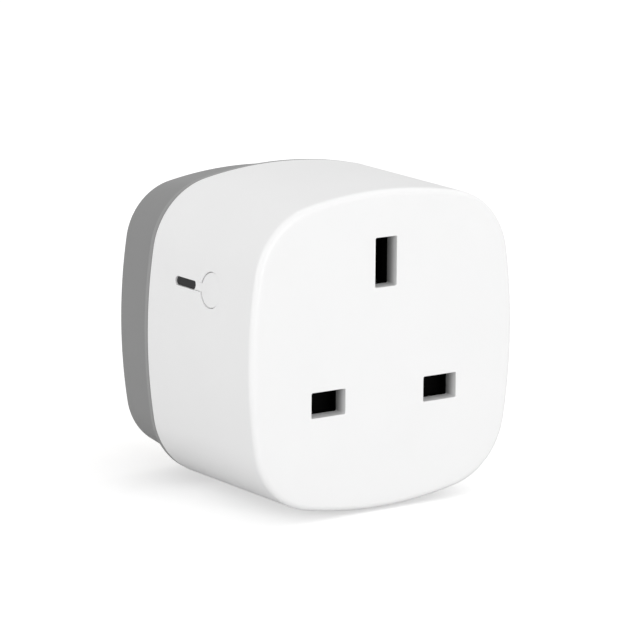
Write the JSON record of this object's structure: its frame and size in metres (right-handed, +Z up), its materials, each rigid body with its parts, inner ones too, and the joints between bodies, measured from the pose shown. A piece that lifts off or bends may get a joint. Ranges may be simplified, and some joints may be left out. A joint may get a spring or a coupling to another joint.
{
  "type": "smart plug",
  "caption": "Rounded white plug-through smart plug on a grey base, with a shuttered socket face, rear pins, and a side push button with a window.",
  "frame": {"origin": "middle of the case's flat wall face, on its outer surface, midway between the widest and tallest extents of the case", "axes": "+Z up with the earth pin above the flat pins, +Y out of the wall face along the pins, +X to the right seen from the socket face; the button is on the -X side"},
  "size_m": [0.053, 0.0667, 0.0538],
  "materials": {
    "white_plastic": "fine satin",
    "grey_plastic": "satin",
    "black_plastic": "matte",
    "sleeve_plastic": "satin",
    "smoked_plastic": "gloss",
    "clear_plastic": "clear",
    "brass": "bright drawn",
    "plated_contact": "dull tin plate",
    "steel": "zinc plated",
    "circuit_board": "solder mask",
    "epoxy": "moulded",
    "blue_plastic": "satin",
    "yellow_tape": "satin",
    "ferrite": "matte",
    "label": "satin silver, blank"
  },
  "bodies": {
    "case": {"front_cover": "white_plastic", "rear_base": "grey_plastic", "case_screw_1": "steel", "case_screw_2": "steel", "case_screw_3": "steel", "case_screw_4": "steel", "rating_label": "label", "live_pin": "brass", "neutral_pin": "brass", "earth_pin": "brass", "live_pin_sleeve": "sleeve_plastic", "neutral_pin_sleeve": "sleeve_plastic", "shutter_guide": "black_plastic", "shutter_spring": "steel", "contact_block": "black_plastic", "live_contact": "plated_contact", "neutral_contact": "plated_contact", "earth_contact": "plated_contact", "indicator_window": "smoked_plastic", "light_guide": "clear_plastic", "switch_body": "epoxy", "status_led": "clear_plastic", "main_board": "circuit_board", "control_board": "circuit_board", "radio_shield": "plated_contact", "control_header": "epoxy", "relay_base": "epoxy", "relay_case": "blue_plastic", "transformer_bobbin": "epoxy", "transformer_winding": "yellow_tape", "transformer_core": "ferrite", "filter_capacitor": "yellow_tape", "bulk_capacitor": "epoxy", "smoothing_capacitor": "epoxy", "varistor": "blue_plastic", "fusible_resistor": "ferrite", "bridge_rectifier": "epoxy", "current_shunt": "plated_contact", "metering_chip": "epoxy", "supply_chip": "epoxy"},
    "button": {"button_cap": "white_plastic"},
    "plunger": {"switch_plunger": "white_plastic"},
    "shutter_slider": {"shutter": "black_plastic"}
  },
  "joints": [
    {"name": "button_press", "type": "slide", "parent": "case", "child": "button", "axis": [1, 0, 0], "range_m": [0, 0.0005], "stiffness_N_per_m": 2400, "springref_m": -0.0001},
    {"name": "plunger_press", "type": "slide", "parent": "case", "child": "plunger", "axis": [1, 0, 0], "range_m": [0, 0.0005]},
    {"name": "shutter_slide", "type": "slide", "parent": "case", "child": "shutter_slider", "axis": [0, 0, -1], "range_m": [0, 0.0053], "stiffness_N_per_m": 60, "springref_m": -0.004, "deforming": ["shutter_spring"]}
  ],
  "couplings": [
    {"joint": "plunger_press", "follows": "button_press", "ratio": 1}
  ]
}
